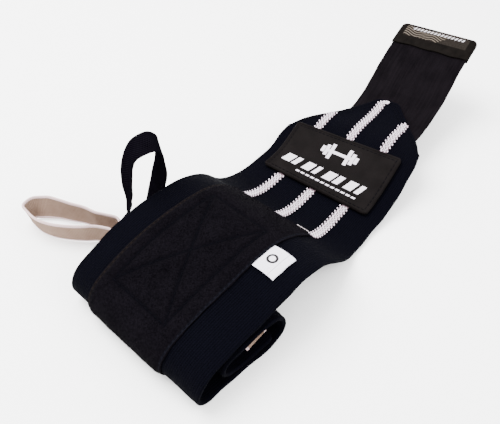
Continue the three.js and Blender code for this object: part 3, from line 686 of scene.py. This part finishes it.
panel_s = np.concatenate([panel_s0 + np.array([0, 0.1, 0.25, 0.5, 0.8, 1.2, 1.6]),
                          np.arange(panel_s0 + 2, panel_s1 - 1.5, 0.8),
                          panel_s1 - np.array([1.2, 0.8, 0.5, 0.25, 0.1, 0])])
panel = flat_piece("loop_panel_tape", panel_s,
                   lambda s: panel_x0 + 0.2 * math.sin(s / 5.2) + 0.08 * math.sin(s / 1.7),
                   lambda s: panel_x1 + 0.2 * math.sin(s / 6.1 + 2) + 0.08 * math.sin(s / 1.5), panel_top,
                   lambda s, x: 0.12 + 0.5 * over_label(s, x),
                   across=80, soft=0.45, end_soft=0.4)
spots = np.empty(len(panel.data.vertices) * 3, np.float32)
panel.data.attributes["cloth"].data.foreach_get("vector", spots)
spots = spots.reshape(-1, 3)
# How much painted shade falls along the quilting furrows at each point.
furrow_shade_share = np.exp(-(to_quilting(spots[:, 0], spots[:, 1]) / 0.9) ** 2)
furrow_shade = panel.data.attributes.new("furrow_shade", "FLOAT", "POINT")
furrow_shade.data.foreach_set("value", furrow_shade_share.astype(np.float32))
# Curly nap, brushed lighter and darker in patches, with paler selvedges and painted shade along the quilting
# furrows.
pile_look, tree, main = shader("loop_pile", (0.003, 0.0025, 0.0035), 1.0)
s, x, h, spot = cloth_spot(tree)
cells = tree.nodes.new("ShaderNodeTexVoronoi")
cells.inputs["Scale"].default_value = 1.15
tree.links.new(spot, cells.inputs["Vector"])
curl = noise(tree, spot, 1.5, 5)
nap = calc(tree, "MULTIPLY_ADD", cells.outputs["Distance"], -0.6, calc(tree, "ADD", curl, 0.5))
bump(tree, main, nap, 0.22)
furrow_shade_line = tree.nodes.new("ShaderNodeAttribute")
furrow_shade_line.attribute_name = "furrow_shade"
tone = calc(tree, "MULTIPLY_ADD", nap, 0.5, calc(tree, "MULTIPLY", noise(tree, spot, 0.07, 5), 0.5))
color = ramp(tree, tone, [(0.3, (0.0003, 0.0002, 0.0005)), (0.85, (0.0026, 0.0021, 0.0031))])
color = paint(tree, color, (0.0042, 0.0031, 0.0029), calc(tree, "COMPARE", x, panel_x0 + 0.9, 0.5))
color = paint(tree, color, (0.0028, 0.0028, 0.0044), calc(tree, "COMPARE", x, panel_x1 - 0.8, 0.4))
# Painted shade darkens the quilting furrows.
color = paint(tree, color, (0.0002, 0.0002, 0.0006), calc(tree, "MULTIPLY", furrow_shade_line.outputs["Fac"], 0.6))
tree.links.new(color, main.inputs["Base Color"])
panel.data.materials.append(pile_look)
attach(panel, "root")
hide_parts("loop_panel")

# Panel pile
# Short soft curls of yarn, brushed up out of the panel's woven ground. They stand all over it but
# for the quilting seams, which press them flat.
rng = np.random.default_rng(8)
curl_count = 9000
curl_s = rng.uniform(panel_s0 + 1.2, panel_s1 - 1.2, curl_count)
curl_x = rng.uniform(panel_x0 + 2.0, panel_x1 - 2.0, curl_count)
clear = to_quilting(curl_s, curl_x) > 0.9
curl_s, curl_x = curl_s[clear], curl_x[clear]
curl_count = len(curl_s)
heading = rng.uniform(0, 2 * math.pi, curl_count)
base = panel_top(curl_s, curl_x)
reach, lift = rng.uniform(0.22, 0.5, curl_count), rng.uniform(0.12, 0.32, curl_count)
curl_rings = []
for out, up, wide in ((-0.5, -0.25, 0.07), (-0.25, 0.75, 0.06), (0.25, 1.0, 0.05), (0.55, 0.2, 0.04)):
    ring = []
    for a in strand_corners:
        ds = reach * out * np.cos(heading) + wide * math.cos(a) * np.sin(heading)
        dx = reach * out * np.sin(heading) - wide * math.cos(a) * np.cos(heading)
        ring.append(lay(curl_s + ds, curl_x + dx, base + lift * up + wide * math.sin(a)))
    curl_rings.append(np.stack(ring, 1))
pile = strands("panel_pile", np.stack(curl_rings, 1), capped=False)
pile.data.materials.append(shader("pile_yarn", (0.0018, 0.0015, 0.0022), 0.95)[0])
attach(pile, "root")

# Panel seams
# Dark thread round the panel's edge and in the boxed cross, in running stitches that go through
# to the band, and two bits of pale thread that were left at its far and near edges.
seams = []
for corners in (cross_box, *cross_lines):
    s, x, heading = stitch_line(corners, 2.9)
    seams.append(beads("cross_seam", s, x, panel_top(s, x) + 0.02, 2.3, 0.45, 0.4, heading))
edge_inset = 0.9
far, close = panel_s0 + edge_inset, panel_s1 - edge_inset
left, right = panel_x0 + edge_inset, panel_x1 - edge_inset
s, x, heading = stitch_line([(far, left), (close, left), (close, right), (far, right), (far, left)], 2.6)
seams.append(beads("edge_seam", s, x, panel_top(s, x) + 0.03, 2.1, 0.4, 0.36, heading))
panel_seams = join("panel_seams", seams)
panel_seams.data.materials.append(black_thread)
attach(panel_seams, "root")
s, x, heading = stitch_line([(171.4, 12.0), (171.0, 18.4)], 1.7)
far_thread = beads("far_edge_thread", s, x, 1.85, 1.8, 0.5, 0.45, heading)
near_thread = beads("near_edge_thread", [278.6, 279.6, 280.6], [-5.8, -5.2, -4.4],
                    1.75, 1.5, 0.6, 0.6, [0.3, 0.9, 0.6])
loose = join("pale_thread_ends", [far_thread, near_thread])
loose.data.materials.append(shader("pale_thread", (0.34, 0.3, 0.31), 0.8)[0])
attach(loose, "root")

# Side label
# White satin ribbon folded double, with a plain ring on its face. Its sewn edge is caught under
# the panel's right edge, and it lies on the band.
label_s0, label_s1, label_x0, label_fold = 202.4, 216.5, 17.6, 31.3
label_thick, crease_x = 0.45, 28.1
ring_at, ring_radius, ring_line = (209.2, 24.3), 2.0, 0.55


def label_under(s, x):
    """Arches up a little between the panel's edge and its fold."""
    arch = np.sin(math.pi * np.clip((x - 19.5) / 13.0, 0, 1))
    return 0.1 + arch * (0.8 + 0.15 * np.sin((s - 201) / 5))


def label_top(s, x):
    """A little fuller along the fold."""
    fuller = np.clip((x - crease_x) / 0.35, 0, 1) * np.clip(label_fold + 0.3 - x, 0, 1)
    return label_under(s, x) + label_thick + 0.22 * fuller


label_s = np.concatenate([
    label_s0 + np.array([0, 0.05, 0.15, 0.3]), np.linspace(label_s0 + 0.6, label_s1 - 0.6, 30),
    label_s1 - np.array([0.3, 0.15, 0.05, 0])])
label = flat_piece("side_label_ribbon", label_s,
                   lambda s: label_x0, lambda s: label_fold + 0.08 * math.sin(s * 0.9),
                   label_top, label_under, across=60, soft=0.3, end_soft=0.25)
# Satin threads, a crease near the fold with painted shade along it, and the ring.
label_look, tree, main = shader("label_satin", (0.86, 0.84, 0.9), 0.45, 0.1)
s, x, h, spot = cloth_spot(tree)
bump(tree, main, calc(tree, "MULTIPLY_ADD", wave(tree, x, 0.5), 0.3, wave(tree, s, 0.32)), 0.05)
off_s, off_x = calc(tree, "SUBTRACT", s, ring_at[0]), calc(tree, "SUBTRACT", x, ring_at[1])
radius = calc(tree, "SQRT", calc(tree, "MULTIPLY_ADD", off_s, off_s, calc(tree, "MULTIPLY", off_x, off_x)))
# A darker line painted along the crease: painted shade.
color = paint(tree, (0.72, 0.70, 0.78), (0.36, 0.33, 0.39), calc(tree, "COMPARE", x, crease_x, 0.14))
color = paint(tree, color, (0.004, 0.0035, 0.004), calc(tree, "COMPARE", radius, ring_radius, ring_line))
tree.links.new(color, main.inputs["Base Color"])
label.data.materials.append(label_look)
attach(label, "root")
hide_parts("side_label")

# White thumb loop
# Pale elastic tape, 12 mm wide, with rolled edges and fine ribs across it, sewn on the band's inner
# end and lying on its edge beside the roll. Rows: out from the band, along toward the tab, up, and
# the direction across the tape, as shares of the loop's 60 mm reach.
loop_reach, tape_width = 60, 12.0
root = lay(wrap_length - 12, -38, -band_thick - 0.3 - 0.55)
white_rows = np.array([
    (-1.24, -0.048, 0.011, 0, 1.00, 0.08), (-0.60, -0.046, 0.006, 0, 1.00, 0.07),
    (0.05, 0.000, 0.008, 0, 1.00, 0.07), (0.13, -0.012, 0.010, 0, 0.88, -0.47),
    (0.19, -0.030, 0.008, 0, 0.50, -0.87), (0.27, -0.068, 0.003, 0, 0.12, -0.99),
    (0.38, -0.131, 0.001, 0.04, 0.05, -1.00), (0.45, -0.196, 0.001, 0.05, 0.07, -1.00),
    (0.55, -0.272, 0.001, 0.06, 0.09, -0.99), (0.67, -0.339, 0.000, 0.05, 0.13, -0.99),
    (0.79, -0.374, 0.000, 0.02, 0.17, -0.98), (0.91, -0.372, 0.000, -0.02, 0.17, -0.98),
    (1.00, -0.352, 0.000, -0.10, 0.14, -0.98), (1.01, -0.282, -0.005, -0.28, -0.20, -0.94),
    (0.97, -0.235, -0.010, -0.28, -0.37, -0.88), (0.93, -0.200, -0.010, -0.29, -0.37, -0.88),
    (0.84, -0.157, -0.003, -0.14, -0.24, -0.96), (0.73, -0.115, 0.000, -0.08, -0.14, -0.99),
    (0.60, -0.059, 0.001, -0.03, -0.06, -1.00), (0.49, -0.033, 0.001, -0.01, -0.03, -1.00),
    (0.41, 0.006, 0.001, 0, 0, -1.00), (0.31, 0.048, 0.001, 0, 0.03, -1.00),
    (0.19, 0.035, 0.012, 0, 0.42, -0.91), (0.12, 0.028, 0.026, 0, 0.86, -0.50),
    (0.04, 0.010, 0.034, 0, 1.00, 0.07), (-0.30, -0.032, 0.031, 0, 1.00, 0.07)])


def smooth_path(points, per_row):
    """Rounded line through the rows, with its heading."""
    padded = np.vstack([2 * points[0] - points[1], points, 2 * points[-1] - points[-2]])
    out, slopes = [], []
    for i in range(1, len(padded) - 2):
        p0, p1, p2, p3 = padded[i - 1:i + 3]
        d0, d1, d2 = (np.linalg.norm(b - a) ** 0.5 for a, b in ((p0, p1), (p1, p2), (p2, p3)))
        d1 = d1 if d1 > 0.0001 else 1.0
        d0, d2 = (d if d > 0.0001 else d1 for d in (d0, d2))
        t1 = ((p1 - p0) / d0 - (p2 - p0) / (d0 + d1) + (p2 - p1) / d1) * d1
        t2 = ((p2 - p1) / d1 - (p3 - p1) / (d1 + d2) + (p3 - p2) / d2) * d1
        square, cube = 3 * (p2 - p1) - 2 * t1 - t2, 2 * (p1 - p2) + t1 + t2
        for w in np.arange(per_row) / per_row:
            out.append(p1 + t1 * w + square * w ** 2 + cube * w ** 3)
            slopes.append(t1 + 2 * square * w + 3 * cube * w ** 2)
    return np.array(out + [padded[-2]]), np.array(slopes + [slopes[-1]])


def tape(name, rows, thick, roll, roll_width):
    """Elastic tape along a free path, thicker at its rolled edges, and its length."""
    line, heading = smooth_path(root + rows[:, :3] * (-loop_reach, loop_reach, loop_reach), 14)
    facing = rows[:, 3:] * (-1, 1, 1)
    face, _ = smooth_path(facing / np.linalg.norm(facing, axis=1)[:, None], 14)
    heading = heading / np.linalg.norm(heading, axis=1)[:, None]
    face = face - heading * (face * heading).sum(1)[:, None]
    face = face / np.linalg.norm(face, axis=1)[:, None]
    normal = np.cross(face, heading)
    run = np.concatenate([[0], np.cumsum(np.linalg.norm(np.diff(line, axis=0), axis=1))])
    half_share = np.array([0, 0.02, 0.06, 0.12, 0.2, 0.32])
    across = (np.concatenate([half_share, [0.5], 1 - half_share[::-1]]) * 2 - 1) * tape_width / 2
    from_edge = tape_width / 2 - abs(across)
    body = thick / 2 + roll * np.exp(-((from_edge - roll_width) / roll_width) ** 2)
    body = body * np.sqrt(np.clip(1 - (1 - np.clip(from_edge / (roll_width * 0.9), 0, 1)) ** 2, 0.01, 1))
    u = np.concatenate([across, across[::-1]])
    v = np.concatenate([body, -body[::-1]])
    rings = line[:, None] + face[:, None] * u[None, :, None] + normal[:, None] * v[None, :, None]
    cloth = np.stack(np.broadcast_arrays(run[:, None], u[None], v[None]), -1)
    return solid(name, rings[:, ::-1], cloth[:, ::-1]), run[-1]


white_tape, white_length = tape("thumb_loop_white_tape", white_rows, 0.8, 0.22, 0.75)
# Ribs across the tape over faint cords along it, and paler rolled edges.
white_look, tree, main = shader("white_tape", (0.5, 0.42, 0.38), 0.9, 0.04)
s, x, h, spot = cloth_spot(tree)
rib = place(tree, rib_effect, s, 0.75)
bump(tree, main, calc(tree, "MULTIPLY_ADD", wave(tree, x, 0.9), 0.18, rib), 0.16)
tone = calc(tree, "MULTIPLY_ADD", rib, 0.4, calc(tree, "MULTIPLY", noise(tree, spot, 0.15, 4), 0.6))
body_color = ramp(tree, tone, [(0.25, (0.13, 0.083, 0.06)), (0.85, (0.215, 0.148, 0.112))])
rolled_edge = calc(tree, "GREATER_THAN", calc(tree, "ABSOLUTE", x), 4.75)
tree.links.new(paint(tree, body_color, (0.46, 0.34, 0.335), rolled_edge), main.inputs["Base Color"])
white_tape.data.materials.append(white_look)
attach(white_tape, "root")
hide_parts("thumb_loop_white")

# Black thumb loop
# Black elastic tape with a slanted twill, sewn over the white one's ends and standing up from the
# roll. Its rows are read as the white loop's are.
black_rows = np.array([
    (-0.40, -0.042, 0.062, 0, 1.00, 0.07), (0.00, 0.004, 0.068, 0, 1.00, 0.07),
    (0.10, 0.030, 0.098, 0.30, 0.95, 0.06), (0.19, 0.085, 0.145, 0.72, 0.68, 0.03),
    (0.26, 0.155, 0.220, 0.86, 0.50, 0), (0.29, 0.182, 0.310, 0.95, 0.29, 0),
    (0.29, 0.192, 0.410, 0.96, 0.28, 0), (0.27, 0.202, 0.520, 0.95, 0.31, 0.05),
    (0.24, 0.218, 0.635, 0.87, 0.44, 0.21), (0.19, 0.250, 0.735, 0.82, 0.52, 0.25),
    (0.12, 0.352, 0.778, 0.87, 0.41, 0.24), (0.10, 0.402, 0.728, 0.84, 0.50, 0.20),
    (0.11, 0.412, 0.620, 0.91, 0.41, 0.05), (0.13, 0.418, 0.490, 0.96, 0.27, 0),
    (0.16, 0.405, 0.370, 0.98, 0.18, 0), (0.17, 0.372, 0.280, 0.95, 0.30, 0),
    (0.14, 0.285, 0.200, 0.75, 0.65, 0.05), (0.09, 0.160, 0.150, 0.35, 0.90, 0.05),
    (0.02, 0.050, 0.115, 0.10, 1.00, 0.07), (-0.08, -0.004, 0.096, 0, 1.00, 0.07),
    (-0.40, -0.042, 0.094, 0, 1.00, 0.07)])
black_tape, black_length = tape("thumb_loop_black_tape", black_rows, 0.85, 0.1, 0.6)
# Slanted twill over faint cords along the tape.
black_look, tree, main = shader("black_tape", (0.002, 0.002, 0.003), 0.95, gloss=0.0)
s, x, h, spot = cloth_spot(tree)
twill = place(tree, rib_effect, calc(tree, "MULTIPLY_ADD", x, 0.9, s), 1.15)
bump(tree, main, calc(tree, "MULTIPLY_ADD", wave(tree, x, 0.8), 0.15, twill), 0.22)
tone = calc(tree, "MULTIPLY_ADD", twill, 0.6, calc(tree, "MULTIPLY", noise(tree, spot, 0.2, 4), 0.4))
tree.links.new(ramp(tree, tone, [(0.3, (0.0003, 0.0002, 0.0005)), (0.9, (0.0030, 0.0025, 0.0040))]),
               main.inputs["Base Color"])
black_tape.data.materials.append(black_look)
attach(black_tape, "root")
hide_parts("thumb_loop_black")

# Floor and backdrop
# Plain pale sheet that the wrap lies on.
bpy.ops.mesh.primitive_plane_add(size=6, location=(0, 0, -0.0002))
floor = bpy.context.object
floor.name = "floor"
floor.data.materials.append(shader("floor_paper", (0.95, 0.95, 0.95), 0.8)[0])

# Light and camera
# Two large soft boxes over a pale surround; the camera stands where the photograph was taken.
for name, stand, aim_at, size, power in (
        ("key_light", (-0.35, -0.15, 0.75), (0, -0.02, 0), 0.6, 26.0),
        ("fill_light", (0.75, 0.25, 0.6), (0, 0, 0), 0.7, 10.0)):
    lamp_data = bpy.data.lights.new(name, "AREA")
    lamp_data.shape, lamp_data.size, lamp_data.energy = "SQUARE", size, power
    lamp = bpy.data.objects.new(name, lamp_data)
    bpy.context.scene.collection.objects.link(lamp)
    lamp.location = stand
    aim = np.array(aim_at) - np.array(stand)
    down = math.acos(-aim[2] / np.linalg.norm(aim))
    lamp.rotation_euler = (down, 0, math.atan2(aim[1], aim[0]) - math.pi / 2)
world = bpy.data.worlds.new("pale_room")
world.use_nodes = True
surround = world.node_tree.nodes["Background"]
surround.inputs[0].default_value = (1, 1, 1, 1)
surround.inputs[1].default_value = 3.4
bpy.context.scene.world = world

camera_data = bpy.data.cameras.new("camera")
camera_data.lens = 40.84
camera_data.sensor_width = 36
camera = bpy.data.objects.new("camera", camera_data)
bpy.context.scene.collection.objects.link(camera)
camera.location = (0.14484, -0.18666, 0.20975)
camera.rotation_euler = (math.radians(44.29), 0, math.radians(40.67))
bpy.context.scene.camera = camera
